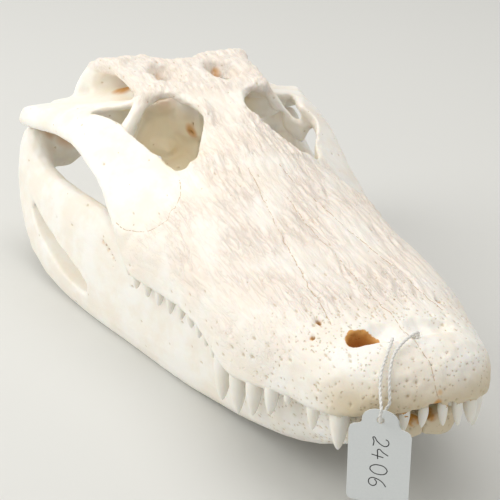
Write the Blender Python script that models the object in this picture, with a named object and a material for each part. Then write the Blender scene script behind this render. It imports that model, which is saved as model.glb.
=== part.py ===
"""Alligator skull with its lower jaw closed, bleached bone at life size, with a paper tag on a string.

The snout points to -Y and the skull's left side is +X. Sizes are in millimetres: x from the middle
plane, s the station back from the tip of the snout, z above the floor. MM turns them into metres.
"""

import math
import random

import bmesh
import bpy
from mathutils import Vector

MM = 0.001

# Driving sizes
SEAM = 0.36  # gap between neighbouring bones
JOINT_GAP = 0.8  # between the heads of the jaw joint and their cup in the lower jaw
FUSE = 2.0  # grain at which overlapping forms are fused into one bone
CRANIUM_FACES = 5600
JAW_FACES = 1000
TOOTH_SIDES = 6
TOOTH_ROOT = 5.0  # how deep each tooth is sunk in the bone
BONE_COLOUR = (0.86, 0.81, 0.70)
CARD_COLOUR = (0.62, 0.64, 0.65)
STRING_COLOUR = (0.80, 0.80, 0.78)

# Snout and upper jaw: station, half width, top, tooth margin, squareness of the arch
SNOUT = [
    (0, 8, 86, 80, 2.2),
    (3, 20, 91, 79, 2.4),
    (9, 33, 98, 77, 2.6),
    (18, 43, 103, 73, 2.8),
    (30, 51, 106, 69, 3.0),
    (44, 56, 106, 66, 3.1),
    (58, 60, 107, 65, 3.1),
    (72, 65, 108, 62, 3.0),
    (92, 73, 110, 58, 2.9),
    (108, 77, 111, 56, 2.9),
    (124, 78, 112, 58, 2.9),
    (150, 78, 114, 62, 2.8),
    (175, 79, 117, 63, 2.6),
    (205, 84, 121, 61, 2.3),
    (232, 93, 126, 61, 2.0),
    (250, 96, 131, 71, 1.6),
    (264, 97.5, 134, 86, 1.45),
    (278, 97.5, 136, 97, 1.4),
    (292, 98, 139, 106, 1.4),
]
PALATE_RISE = 10.0  # how far the palate is vaulted above the tooth margin
RIM = 9.0  # thickness of the tooth-bearing rim

# Cheek: station, x and z of the upper edge, x and z of the lower edge, thickness
CHEEK = [
    (248, 58, 107, 95, 78, 12),
    (275, 48, 114, 98, 95, 10),
    (285, 55, 121, 97.5, 101, 9),
    (300, 63, 129, 98.5, 107, 8),
    (320, 71, 134, 100.5, 112, 8),
    (340, 76, 133, 102.5, 115, 8),
    (362, 84, 129, 105, 113, 8),
    (385, 91, 124, 106, 108, 9),
    (408, 98, 118, 110, 103, 10),
    (431, 107, 113, 113, 98, 11),
]

# Plate of the quadrate that runs back from the bar behind the eye, keyed like the cheek
QUADRATE_PLATE = [
    (350, 38, 138, 60, 136, 6),
    (362, 40, 134, 84, 130, 6),
    (382, 44, 126, 91, 124, 7),
    (402, 50, 118, 98, 118, 8),
    (418, 60, 112, 104, 114, 9),
    (432, 74, 108, 110, 109, 10),
]

# Bridge between the eyes: station, half width, height in the middle, height of its rims
BRIDGE = [
    (258, 46, 131, 124),
    (272, 37, 133, 128),
    (288, 30, 135, 135),
    (301, 21, 139, 144),
    (312, 18, 141, 147),
    (325, 20, 144, 148),
    (338, 28, 147, 149),
    (350, 38, 149, 151),
]
BRIDGE_THICK = 9.0

# Flat roof of the skull: station, half width, top
TABLE = [(337, 40, 149), (346, 50, 151), (362, 52, 152), (385, 53, 153), (405, 54, 153), (419, 52, 152)]
TABLE_THICK = 12.0
TABLE_DIP = 2.0

# Lower jaw: station, x of its middle, half thickness, top, bottom, outward lean of its top
JAW = [
    (11, 4, 5, 67, 58, 0),
    (14, 12, 7, 72, 54, 0),
    (20, 18, 8, 73, 51, 1),
    (36, 28, 9, 69, 43, 2),
    (60, 33.5, 10, 66, 29, 2),
    (85, 41, 11, 61, 20, 2),
    (110, 46.3, 11, 57, 14, 1),
    (145, 51, 11, 61, 6, -0.5),
    (190, 61, 11, 61, 0, -1),
    (225, 69.5, 11, 59, -1, -2),
    (250, 76, 11, 65, -1, -2.5),
    (280, 84.5, 11, 75, -1, -3),
    (310, 92.5, 11, 81, -1, -3),
    (345, 100, 11, 80, 1, -3),
    (380, 105.5, 11, 79, 7, -3),
    (405, 106.5, 11, 82, 17, -2.5),
    (430, 103.5, 12, 98, 33, -2),
    (446, 99.5, 11, 93, 47, -1),
    (460, 95, 8, 80, 58, 0),
    (471, 92, 4, 77, 69, 1),
]
SYMPHYSIS = [(11, 8, 6), (16, 20, 8), (30, 26, 9), (50, 26, 9), (62, 16, 8)]
JOINT_MASS = ((84, 434, 77), (20, 17, 15))  # thick inner part of the jaw joint, middle and radii

# How far the left cheek is drawn in, as this skull isn't quite even: station and distance
DRAWN_IN = [(225, 0), (262, 8), (290, 11), (335, 10), (380, 5), (425, 0)]
DRAWN_IN_FROM = 35.0  # no change nearer to the middle plane than this
DRAWN_IN_FULL = 80.0

# The four teeth in front on each side: x, station, length out of the bone, radius at the bone
FRONT_TEETH = [(5.8, 5.0, 10, 2.8), (16.0, 7.0, 12, 3.1), (27.0, 12.0, 16, 4.0), (41.5, 31.0, 22, 5.8)]
# The others of one side, set in from the margin: station, length and radius
UPPER_TEETH = [
    (45, 14, 3.8),
    (66, 15, 3.9), (78, 17, 4.4), (91, 20, 5.0), (106, 23, 5.6), (122, 24, 5.8),
    (136, 9, 3.2), (148, 8, 3.0), (160, 9, 3.3), (173, 10, 3.5), (186, 10, 3.5),
    (199, 10, 3.4), (211, 10, 3.3), (222, 9, 3.1), (233, 8, 2.9), (243, 7, 2.6),
]
LOWER_TEETH = [
    (17, 6, 2.2), (26, 6, 2.4), (38, 7, 2.9), (52, 6, 2.4), (66, 6, 2.3), (80, 6, 2.3),
    (94, 6, 2.4), (110, 7, 2.8), (126, 7, 2.8), (142, 7, 2.7), (158, 7, 2.6), (174, 7, 2.5),
    (190, 6, 2.4), (206, 6, 2.3), (222, 6, 2.2),
]


def between(keys, s):
    """The row of sizes at a station, on a smooth curve through the keyed rows, with no overshoot."""
    s = min(max(s, keys[0][0]), keys[-1][0])
    i = max(k for k in range(len(keys) - 1) if keys[k][0] <= s)
    gap = keys[i + 1][0] - keys[i][0]
    t = (s - keys[i][0]) / gap

    def slope(k, c):
        near = [j for j in (k - 1, k) if 0 <= j < len(keys) - 1]
        rates = [(keys[j + 1][c] - keys[j][c]) / (keys[j + 1][0] - keys[j][0]) for j in near]
        if len(rates) == 1:
            return rates[0]
        if rates[0] * rates[1] <= 0:
            return 0.0
        return 2 * rates[0] * rates[1] / (rates[0] + rates[1])

    row = []
    for c in range(1, len(keys[0])):
        start = keys[i][c] * (2 * t**3 - 3 * t**2 + 1) + slope(i, c) * gap * (t**3 - 2 * t**2 + t)
        end = keys[i + 1][c] * (3 * t**2 - 2 * t**3) + slope(i + 1, c) * gap * (t**3 - t**2)
        row.append(start + end)
    return row


def stations(keys, step):
    """Evenly spaced stations from the first key to the last."""
    first, last = keys[0][0], keys[-1][0]
    count = max(2, round((last - first) / step))
    return [first + (last - first) * i / count for i in range(count + 1)]


def signed_power(value, power):
    return math.copysign(abs(value) ** power, value)


def superellipse(count, power):
    """Unit pairs round a rounded box, the higher the power the squarer."""
    turns = [2 * math.pi * (i + 0.5) / count for i in range(count)]
    return [(signed_power(math.cos(a), 2 / power), signed_power(math.sin(a), 2 / power)) for a in turns]


def point(x, s, z):
    return Vector((x * MM, s * MM, z * MM))


def add_object(name, bm):
    bmesh.ops.recalc_face_normals(bm, faces=bm.faces)
    mesh = bpy.data.meshes.new(name)
    bm.to_mesh(mesh)
    bm.free()
    obj = bpy.data.objects.new(name, mesh)
    bpy.context.scene.collection.objects.link(obj)
    return obj


def loft(rings, name="form"):
    """A closed solid through rings that all have the same number of points."""
    bm = bmesh.new()
    made = [[bm.verts.new(p) for p in ring] for ring in rings]
    for a, b in zip(made, made[1:]):
        for i in range(len(a)):
            j = (i + 1) % len(a)
            bm.faces.new((a[i], a[j], b[j], b[i]))
    bm.faces.new(made[0])
    bm.faces.new(made[-1])
    bmesh.ops.triangulate(bm, faces=bm.faces)
    return add_object(name, bm)


def ball(centre, radii):
    bm = bmesh.new()
    bmesh.ops.create_uvsphere(bm, u_segments=24, v_segments=14, radius=1)
    for v in bm.verts:
        v.co = point(*(c + r * n for c, r, n in zip(centre, radii, v.co)))
    return add_object("ball", bm)


def bar(path, flat=(0, 0, 1), power=2.2, count=20):
    """A limb of bone along rows of x, station, z, half width and half thickness.
    The thickness is measured along the direction flat."""
    keys = [(i, *row) for i, row in enumerate(path)]
    rings = []
    for t in stations(keys, 0.2):
        x, st, z, wide, thick = between(keys, t)
        ahead = Vector(between(keys, t + 0.05)[:3]) - Vector(between(keys, t - 0.05)[:3])
        ahead.normalize()
        side = ahead.cross(Vector(flat)).normalized()
        up = side.cross(ahead)
        ring = [Vector((x, st, z)) + side * wide * u + up * thick * v for u, v in superellipse(count, power)]
        rings.append([point(*p) for p in ring])
    return loft(rings, "bar")


def plate(keys, side):
    """A plate between two edges, keyed by station."""
    rings = []
    for s in stations(keys, 4):
        xa, za, xb, zb, thick = between(keys, s)
        middle = Vector(((xa + xb) / 2, 0, (za + zb) / 2))
        along = Vector((xa - xb, 0, za - zb)) / 2
        across = Vector((along.z, 0, -along.x)).normalized() * thick / 2
        ring = [middle + along * u + across * v for u, v in superellipse(28, 2.8)]
        rings.append([point(side * p.x, s, p.z) for p in ring])
    return loft(rings, "plate")


def snout_ring(s):
    """Outline across the snout: an arch above, and below it the rims and the vaulted palate."""
    wide, top, margin, arch = between(SNOUT, s)
    rim = min(RIM, wide * 0.4)
    vault = min(PALATE_RISE, (top - margin) * 0.4)
    ring = []
    for i in range(33):
        a = math.pi * i / 32
        x = wide * signed_power(math.cos(a), 2 / arch)
        ring.append(point(x, s, margin + 1.5 + (top - margin - 1.5) * math.sin(a) ** (2 / arch)))
    under = [(0.12, 0), (0.5, -0.8), (0.9, 0), (1.1, vault * 0.5), (1.6, vault)]
    for inset, rise in under:
        ring.append(point(-wide + inset * rim, s, margin + rise))
    for inset, rise in reversed(under):
        ring.append(point(wide - inset * rim, s, margin + rise))
    return ring


def bridge_ring(s):
    wide, middle, rim = between(BRIDGE, s)
    ring = []
    for u, v in superellipse(28, 4):
        height = middle + (rim - middle) * u * u
        ring.append(point(wide * u, s, height - BRIDGE_THICK / 2 * (1 - v)))
    return ring


def table_ring(s):
    wide, top = between(TABLE, s)
    return [
        point(wide * u, s, top - TABLE_DIP * (1 - u * u) - TABLE_THICK / 2 * (1 - v))
        for u, v in superellipse(32, 5)
    ]


def middle_forms():
    """Snout, bridge, flat roof, and what lies under them along the middle."""
    return [
        loft([snout_ring(s) for s in stations(SNOUT, 3)]),
        loft([bridge_ring(s) for s in stations(BRIDGE, 4)]),
        loft([table_ring(s) for s in stations(TABLE, 4)]),
        # Braincase, narrow in front and widening to the back of the head
        bar([(0, 340, 128, 9, 16), (0, 362, 123, 15, 22), (0, 390, 120, 22, 24), (0, 416, 124, 28, 18)],
            power=2.4),
        # Floor of the braincase, dropping behind the throat
        bar([(0, 396, 108, 15, 11), (0, 408, 96, 13, 8), (0, 413, 84, 14, 6)], flat=(0, 1, 0)),
        ball((0, 425, 113), (8, 9, 7)),
        # Bar of the palate between the two windows below the eyes
        bar([(0, 200, 84, 17, 7), (0, 255, 84, 14, 6), (0, 300, 83, 12, 6), (0, 340, 82, 13, 6),
             (0, 366, 82, 22, 7)]),
        bar([(0, 352, 92, 5, 12), (0, 385, 97, 8, 16)]),
    ]


def condyles(side, gap):
    """The two rounded heads of the jaw joint."""
    heads = [((103, 432, 103), (10, 8, 7.5)), ((87, 435, 102), (11, 8, 7))]
    return [ball((side * x, s, z), [r + gap for r in radii]) for (x, s, z), radii in heads]


def side_forms(side):
    """The forms that the right and left sides share."""

    def limb(path, **shape):
        return bar([(row[0] * side, *row[1:]) for row in path], **shape)

    return [
        plate(CHEEK, side),
        plate(QUADRATE_PLATE, side),
        # Bar behind the eye
        limb([(38, 351, 146, 7, 6), (48, 345, 141, 5.5, 5), (58, 338, 130, 5.5, 5), (68, 332, 118.5, 7, 6),
              (82, 327, 112, 8, 5)], flat=(0, 1, 0)),
        # Horn of the flat roof and the wing of bone that drops from it
        limb([(45, 402, 147, 9, 6), (53, 417, 145, 8, 6), (58, 428, 136, 6, 8), (63, 433, 124, 4, 8),
              (68, 434, 114, 4, 6)]),
        limb([(16, 416, 128, 6, 15), (40, 421, 130, 5, 14), (60, 428, 126, 5, 12)]),
        # Thick body of the quadrate and its two condyles
        limb([(24, 392, 122, 16, 14), (50, 402, 116, 17, 11), (74, 418, 109, 18, 9), (92, 428, 107, 14, 7)],
             flat=(0.35, -0.35, 0.87), power=2.6),
        *condyles(side, 0.0),
        # Wing of the pterygoid, and the strut from it to the cheek
        limb([(6, 356, 83, 24, 4), (26, 356, 79, 24, 4), (46, 350, 71, 20, 4), (60, 346, 60, 12, 4)]),
        limb([(50, 338, 72, 9, 4), (64, 322, 80, 8, 5), (76, 302, 92, 9, 6), (84, 289, 99, 8, 5)]),
        # Wall from the quadrate down to the pterygoid
        limb([(14, 376, 90, 14, 5), (32, 384, 102, 15, 5), (48, 396, 114, 14, 6)], flat=(0.6, -0.3, -0.7)),
        # Wall between the braincase and the quadrate, behind the eye
        limb([(8, 373, 108, 23, 4), (28, 373, 109, 23, 4), (44, 370, 114, 17, 4)], flat=(0, 1, 0)),
        # Pillar in front of the eye
        limb([(24, 272, 126, 6, 5), (18, 272, 106, 5, 4), (12, 274, 86, 7, 5)], flat=(0, 1, 0)),
    ]


def join(objects, name):
    bm = bmesh.new()
    for obj in objects:
        bm.from_mesh(obj.data)
        bpy.data.objects.remove(obj)
    mesh = bpy.data.meshes.new(name)
    bm.to_mesh(mesh)
    bm.free()
    joined = bpy.data.objects.new(name, mesh)
    bpy.context.scene.collection.objects.link(joined)
    return joined


def settle(obj):
    """Make what the modifiers show into the object's own mesh."""
    depsgraph = bpy.context.evaluated_depsgraph_get()
    mesh = bpy.data.meshes.new_from_object(obj.evaluated_get(depsgraph))
    obj.modifiers.clear()
    obj.data = mesh


def fuse(obj, smoothing):
    """Fuse overlapping closed forms into one skin and round the corners between them."""
    remesh = obj.modifiers.new("fuse", "REMESH")
    remesh.mode = "VOXEL"
    remesh.voxel_size = FUSE * MM
    smooth = obj.modifiers.new("smooth", "SMOOTH")
    smooth.factor = 0.5
    smooth.iterations = smoothing
    settle(obj)


def draw_in(obj):
    """Bring the left cheek closer to the middle plane."""
    for v in obj.data.vertices:
        share = (v.co.x / MM - DRAWN_IN_FROM) / (DRAWN_IN_FULL - DRAWN_IN_FROM)
        v.co.x -= min(max(share, 0.0), 1.0) * between(DRAWN_IN, v.co.y / MM)[0] * MM


def thin_out(obj, faces):
    """Keep the shape with fewer triangles."""
    obj.data.calc_loop_triangles()
    decimate = obj.modifiers.new("thin", "DECIMATE")
    decimate.ratio = min(1.0, faces / len(obj.data.loop_triangles))
    decimate.use_collapse_triangulate = True
    settle(obj)


def boolean(obj, tool, operation, solver="EXACT"):
    modifier = obj.modifiers.new("cut", "BOOLEAN")
    modifier.operation = operation
    modifier.solver = solver
    modifier.object = tool
    settle(obj)


def cut(obj, tools):
    for tool in tools:
        boolean(obj, tool, "DIFFERENCE")
        bpy.data.objects.remove(tool)


def grown(outline, gap):
    """The outline pushed outward by gap, corner by corner."""
    count = len(outline)
    area = sum(
        outline[i][0] * outline[(i + 1) % count][1] - outline[(i + 1) % count][0] * outline[i][1]
        for i in range(count)
    )
    turn = math.copysign(1, area)
    moved = []
    for i in range(count):
        here = Vector(outline[i])
        before = (here - Vector(outline[i - 1])).normalized()
        after = (Vector(outline[(i + 1) % count]) - here).normalized()
        out_before = Vector((before.y, -before.x)) * turn
        out_after = Vector((after.y, -after.x)) * turn
        corner = (out_before + out_after).normalized()
        moved.append(here + corner * gap / max(0.4, corner.dot(out_before)))
    return moved


def plan_prism(outline, low, high, gap=0.0):
    """Upright prism over an outline of x and station."""
    shape = grown(outline, gap)
    return loft([[point(x, s, z) for x, s in shape] for z in (low - gap, high + gap)], "tool")


def side_prism(outline, left, right, gap=0.0):
    """Prism across the skull over an outline of station and height."""
    shape = grown(outline, gap)
    return loft([[point(x, s, z) for s, z in shape] for x in (left - gap, right + gap)], "tool")


def rounded(outline, cuts):
    """The closed outline with its corners cut again and again, which rounds them."""
    shape = [Vector(p) for p in outline]
    for _ in range(cuts):
        nearer = []
        for i, here in enumerate(shape):
            after = shape[(i + 1) % len(shape)]
            nearer += [here.lerp(after, 0.25), here.lerp(after, 0.75)]
        shape = nearer
    return [tuple(p) for p in shape]


def mirror_plan(outline, side):
    return [(x * side, s) for x, s in outline]


ORBIT = [
    (49, 262), (34, 272), (27, 288), (20, 300), (16, 314), (22, 332), (36, 342), (51, 337), (63, 328),
    (73, 316), (66, 300), (57, 284), (53, 268),
]
SUBORBITAL = [
    (30, 214), (18, 232), (17, 290), (18, 318), (34, 328), (50, 322), (62, 300), (62, 250), (50, 218),
]
TEMPORAL_DISH = ((21, 373, 158), (14, 21, 22))  # hollow in the flat roof, middle and radii
BACK_NOTCH = ((0, 430, 160), (34, 30, 18))  # hollow in the middle of the roof's back edge
# Window in the floor of the right nostril, which opens into the nose
NARIS = [(17, 36), (25, 39), (34, 40), (33, 47), (29, 52), (21, 50), (16, 44)]
NARIS_DISH = ((12.5, 44, 113), (11, 12.5, 11.5))  # shallow bowl beside the midline, middle and radii
LEFT_DISH = ((24, 44, 111.5), (13, 10, 10.5))  # the left nostril's bowl reaches on, with no window in it
TIE_HOLES = [(-11.5, 36.5), (3.5, 36.0)]  # x and station of the small holes that the string goes down
TIE_HOLE_RADIUS = 2.3
UNDER_RIM = ((30, 346, 126), (18, 18, 18))  # hollow that thins the roof above the eye's rear rim
JAW_WINDOW = [
    (298, 24), (312, 32), (345, 40), (378, 51), (394, 54), (390, 46), (366, 32), (330, 20), (304, 17),
]


def skull_openings(side):
    nostril = ball(*LEFT_DISH) if side > 0 else plan_prism(mirror_plan(rounded(NARIS, 2), side), 84, 130)
    return [
        nostril,
        plan_prism(mirror_plan(rounded(ORBIT, 2), side), 92, 175),
        plan_prism(mirror_plan(rounded(SUBORBITAL, 2), side), 50, 104),
        ball((side * TEMPORAL_DISH[0][0], *TEMPORAL_DISH[0][1:]), TEMPORAL_DISH[1]),
        ball((side * NARIS_DISH[0][0], *NARIS_DISH[0][1:]), NARIS_DISH[1]),
        ball((side * UNDER_RIM[0][0], *UNDER_RIM[0][1:]), UNDER_RIM[1]),
    ]


def tie_hole(x, s):
    """Round hole down into the nose, for the string."""
    turns = [2 * math.pi * i / 12 for i in range(12)]
    ring = [(x + TIE_HOLE_RADIUS * math.cos(a), s + TIE_HOLE_RADIUS * math.sin(a)) for a in turns]
    return plan_prism(ring, 90, 120)


def cranium():
    """All of the skull above the lower jaw, as one fused bone."""
    bone = join(middle_forms() + side_forms(-1) + side_forms(1), "cranium")
    fuse(bone, 2)
    draw_in(bone)
    cut(bone, skull_openings(-1) + skull_openings(1) + [ball(*BACK_NOTCH)])
    fuse(bone, 4)
    thin_out(bone, CRANIUM_FACES)
    cut(bone, [tie_hole(*place) for place in TIE_HOLES])
    return bone


def jaw_ring(s, side):
    x, half, top, bottom, lean = between(JAW, s)
    return [
        point(side * (x + lean * v + half * u), s, (top + bottom) / 2 + (top - bottom) / 2 * v)
        for u, v in superellipse(24, 2.7)
    ]


def jaw_window(side):
    """The window in the outer wall of the lower jaw, which leaves the inner wall standing."""
    outline = rounded(JAW_WINDOW, 2)
    rings = []
    for depth in (-6.0, 24.0):
        rings.append([point(side * (between(JAW, s)[0] + depth), s, z) for s, z in outline])
    return loft(rings, "tool")


def lower_jaw():
    """Both halves of the lower jaw, still joined at the chin."""
    forms = []
    for side in (-1, 1):
        forms.append(loft([jaw_ring(s, side) for s in stations(JAW, 3)]))
        chin = []
        for s in stations(SYMPHYSIS, 3):
            wide, thick = between(SYMPHYSIS, s)
            top, bottom = between(JAW, s)[2:4]
            chin.append([
                point(side * (wide / 2 + wide / 2 * u), s, (top + bottom) / 2 + thick * v)
                for u, v in superellipse(20, 2.6)
            ])
        forms.append(loft(chin))
        forms.append(ball((side * JOINT_MASS[0][0], *JOINT_MASS[0][1:]), JOINT_MASS[1]))
    bone = join(forms, "jaw")
    fuse(bone, 2)
    cut(bone, [jaw_window(-1), jaw_window(1)])
    draw_in(bone)
    fuse(bone, 4)
    thin_out(bone, 2 * JAW_FACES)
    cut(bone, condyles(-1, JOINT_GAP) + condyles(1, JOINT_GAP))
    return bone


def clean(obj):
    """Drop slivers and all but the largest closed surface."""
    bm = bmesh.new()
    bm.from_mesh(obj.data)
    bmesh.ops.remove_doubles(bm, verts=bm.verts, dist=0.00002)
    bmesh.ops.dissolve_degenerate(bm, edges=bm.edges, dist=0.00002)
    bmesh.ops.triangulate(bm, faces=bm.faces)
    left = set(bm.verts)
    largest = set()
    while left:
        seed = left.pop()
        island = {seed}
        edge = [seed]
        while edge:
            for link in edge.pop().link_edges:
                for vert in link.verts:
                    if vert not in island:
                        island.add(vert)
                        edge.append(vert)
        left -= island
        if len(island) > len(largest):
            largest = island
    bmesh.ops.delete(bm, geom=[v for v in bm.verts if v not in largest], context="VERTS")
    bm.to_mesh(obj.data)
    bm.free()


# Each cheekbone runs forward as a round lobe, back as far as the quadrate, and up to the bar
CHEEKBONE = [
    (56, 356), (56, 300), (46, 264), (54, 240), (62, 228), (74, 224), (86, 232), (95, 246), (101, 258),
    (130, 262), (130, 406), (97, 404), (88, 380), (80, 362),
]
CHEEKBONE_HEIGHTS = (86, 150)
SNOUT_END = [(-30, 20), (-30, 200), (283, 200), (289, 120), (270, 60), (270, 20)]  # stations, heights
ROOF_UNDERSIDE = [(250, 200), (250, 100), (318, 124), (346, 130), (356, 138), (470, 138), (470, 200)]
PALATE_TOP = [(240, 20), (240, 108), (342, 105), (370, 96), (404, 88), (404, 20)]
QUADRATE = [(34, 300), (34, 470), (150, 470), (150, 300)]
QUADRATE_HEIGHTS = (40, 200)
BEYOND = 200.0  # tools that cut right through reach this far to each side
ALL_STATIONS = (-50.0, 550.0)


def split_off(bone, name, region):
    """Part the bone inside a region from the rest, with a seam between them.
    The region is a function that makes its own tool at a given growth."""
    piece = bpy.data.objects.new(name, bone.data.copy())
    bpy.context.scene.collection.objects.link(piece)
    inner = region(0.0)
    boolean(piece, inner, "INTERSECT")
    bpy.data.objects.remove(inner)
    cut(bone, [region(SEAM)])
    clean(piece)
    return piece


def cheekbone_region(side):
    outline = mirror_plan(CHEEKBONE, side)
    return lambda gap: plan_prism(outline, *CHEEKBONE_HEIGHTS, gap)


def side_region(outline):
    return lambda gap: side_prism(outline, -BEYOND, BEYOND, gap)


def upright_block(low, high):
    """Outline of station and height that spans the whole skull between two heights."""
    front, back = ALL_STATIONS
    return [(front, low), (front, high), (back, high), (back, low)]


def right_half(gap):
    return side_prism(upright_block(-BEYOND, BEYOND), -BEYOND, -SEAM / 2, gap)


def quadrate_region(side):
    return lambda gap: plan_prism(mirror_plan(QUADRATE, side), *QUADRATE_HEIGHTS, gap)


def part_cranium(bone):
    nodes = [
        split_off(bone, "cheekbone_right", cheekbone_region(-1)),
        split_off(bone, "cheekbone_left", cheekbone_region(1)),
        split_off(bone, "snout", side_region(SNOUT_END)),
        split_off(bone, "skull_roof", side_region(ROOF_UNDERSIDE)),
        split_off(bone, "palate", side_region(PALATE_TOP)),
        split_off(bone, "quadrate_right", quadrate_region(-1)),
        split_off(bone, "quadrate_left", quadrate_region(1)),
    ]
    clean(bone)
    bone.name = "braincase"
    return nodes + [bone]


def tooth(base, direction, length, radius, back):
    """A cone with a rounded tip that bends slightly backward, its root sunk in the bone."""
    along = Vector(direction).normalized()
    rings = []
    for share, width in ((-TOOTH_ROOT / length, 0.85), (0.2, 1.0), (0.7, 0.6), (1.0, 0.14)):
        centre = Vector(base) + along * length * share
        centre.y += back * max(0, share) ** 2
        ring = []
        for i in range(TOOTH_SIDES):
            a = 2 * math.pi * i / TOOTH_SIDES
            x, s = centre.x + radius * width * math.cos(a), centre.y + radius * width * math.sin(a)
            ring.append(point(x, s, centre.z))
        rings.append(ring)
    return loft(rings, "tooth")


def upper_teeth(draw):
    teeth = []
    for side in (-1, 1):
        rows = list(FRONT_TEETH)
        for s, length, radius in UPPER_TEETH:
            rows.append((between(SNOUT, s)[0] - radius - 2.0, s, length, radius))
        for x, s, length, radius in rows:
            margin = between(SNOUT, s)[2]
            grown_out = length * draw.uniform(0.9, 1.08)
            lean = (side * draw.uniform(0.0, 0.08), draw.uniform(-0.2, -0.08), -1)
            teeth.append(tooth((side * x, s, margin + 0.5), lean, grown_out, radius, 0.8))
    return teeth


def lower_teeth(draw, side):
    teeth = []
    for s, length, radius in LOWER_TEETH:
        x, _, top, _, _ = between(JAW, s)
        lean = (side * draw.uniform(0.0, 0.1), draw.uniform(-0.06, 0.06), 1)
        grown_out = length * draw.uniform(0.85, 1.05)
        teeth.append(tooth((side * (x + 2), s, top - 1), lean, grown_out, radius, 1.0))
    return teeth


def take_root(bone, teeth):
    """Fuse the teeth with the bone that they grow from."""
    boolean(bone, join(teeth, "teeth"), "UNION")
    bpy.data.objects.remove(bpy.data.objects["teeth"])
    clean(bone)


# String and card of the tag
STRING_RADIUS = 1.0
CARD_WIDE = 34.0
CARD_TALL = 57.0
CARD_THICK = 0.5
# Right shoulder of the card, from its narrow top to its side: across, and up from the hole
CARD_SHOULDER = [
    (3.2, 6.2), (6.2, 5.2), (8.6, 3.4), (9.9, 1.0), (10.1, -2.0), (11.2, -3.6), (14.6, -4.4),
    (16.3, -5.6), (17.0, -7.8),
]
CARD_CORNER = 3.0
CARD_HOLE = 2.2
CARD_HOLE_DROP = 6.2  # from the card's top edge to the middle of its hole
CARD_PLACE = (-33.0, 2.0, 79.0)  # middle of the hole
CARD_TURN = math.radians(-42)
CARD_ROLL = math.radians(-3.2)


def card_point(across, out, up):
    """A point near the card: along its width, out from its face, and up from its hole."""
    turn = CARD_TURN
    x = CARD_PLACE[0] + across * math.cos(turn) + out * math.sin(turn)
    s = CARD_PLACE[1] + across * math.sin(turn) - out * math.cos(turn)
    return (x, s, CARD_PLACE[2] + up)


def string_route():
    """Up out of the right tie hole, over the snout to the card's face, through the card's hole, and back
    up behind the card and into the left tie hole."""
    (right_x, right_s), (left_x, left_s) = TIE_HOLES
    route = [(right_x, right_s, 94), (right_x, right_s, 100.5), (right_x - 0.7, 34.8, 106.6)]
    route += [(-14.4, 30.6, 108.4), (-20.4, 23.6, 105.9), (-27.4, 15.8, 100.6), (-31.6, 8.6, 94.2)]
    route += [card_point(0.5, 4.4, 9.5), card_point(0.3, 4.2, 4.6), card_point(0.2, 2.9, 1.3)]
    route += [card_point(0, 0, 0), card_point(0.2, -2.9, 1.3), card_point(1.2, -4.6, 4.6)]
    route += [card_point(2.6, -5.0, 8.4)]
    route += [(-26.6, 7.4, 92.8), (-24.4, 12.6, 99.6), (-19.4, 19.4, 105.2), (-11.8, 25.6, 107.9)]
    route += [(-4.6, 29.8, 109.3), (1.2, 32.2, 109.8), (3.6, 34.4, 107.2), (left_x, left_s, 100.5)]
    route += [(left_x, left_s, 94)]
    return route


def smooth_points(route, count):
    """Evenly spaced points on a smooth curve through the route."""
    points = [Vector(p) for p in route]
    fine = []
    for i in range(len(points) - 1):
        before = points[max(0, i - 1)]
        a, b = points[i], points[i + 1]
        after = points[min(len(points) - 1, i + 2)]
        for k in range(24):
            t = k / 24
            fine.append(0.5 * (2 * a + (b - before) * t + (2 * before - 5 * a + 4 * b - after) * t * t
                               + (3 * a - before - 3 * b + after) * t**3))
    fine.append(points[-1])
    run = [0.0]
    for a, b in zip(fine, fine[1:]):
        run.append(run[-1] + (b - a).length)
    chosen = []
    j = 0
    for i in range(count):
        aim = run[-1] * i / (count - 1)
        while j < len(run) - 2 and run[j + 1] < aim:
            j += 1
        share = (aim - run[j]) / (run[j + 1] - run[j])
        chosen.append(fine[j].lerp(fine[j + 1], share))
    return chosen


def tag_string():
    curve = bpy.data.curves.new("tag_string", "CURVE")
    curve.dimensions = "3D"
    curve.bevel_depth = STRING_RADIUS * MM
    curve.bevel_resolution = 2
    curve.use_fill_caps = True
    places = smooth_points(string_route(), 70)
    spline = curve.splines.new("POLY")
    spline.points.add(len(places) - 1)
    for knot, place in zip(spline.points, places):
        knot.co = (*point(*place), 1)
    obj = bpy.data.objects.new("tag_string", curve)
    bpy.context.scene.collection.objects.link(obj)
    return obj


def card_outline():
    """Half of the card's edge is a stepped shoulder above and a round corner below, then mirrored."""
    across = CARD_WIDE / 2 - CARD_CORNER
    up = CARD_HOLE_DROP - CARD_TALL + CARD_CORNER
    right = list(CARD_SHOULDER)
    for i in range(5):
        a = math.radians(-90 * i / 4)
        right.append((across + CARD_CORNER * math.cos(a), up + CARD_CORNER * math.sin(a)))
    return right + [(-x, z) for x, z in reversed(right)]


def tag_card():
    outline = card_outline()
    card = loft([[point(x, y, z) for x, z in outline] for y in (-CARD_THICK / 2, CARD_THICK / 2)], "tag_card")
    hole = [(CARD_HOLE * math.cos(a), CARD_HOLE * math.sin(a))
            for a in [2 * math.pi * i / 16 for i in range(16)]]
    cut(card, [loft([[point(x, y, z) for x, z in hole] for y in (-3, 3)], "tool")])
    clean(card)
    card.location = point(*CARD_PLACE)
    card.rotation_euler = (0, CARD_ROLL, CARD_TURN)
    return card


def paint(obj, name, colour, roughness):
    material = bpy.data.materials.get(name) or bpy.data.materials.new(name)
    material.use_nodes = True
    shader = material.node_tree.nodes["Principled BSDF"]
    shader.inputs["Base Color"].default_value = (*colour, 1)
    shader.inputs["Roughness"].default_value = roughness
    shader.inputs["Metallic"].default_value = 0.0
    obj.data.materials.clear()
    obj.data.materials.append(material)


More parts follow.
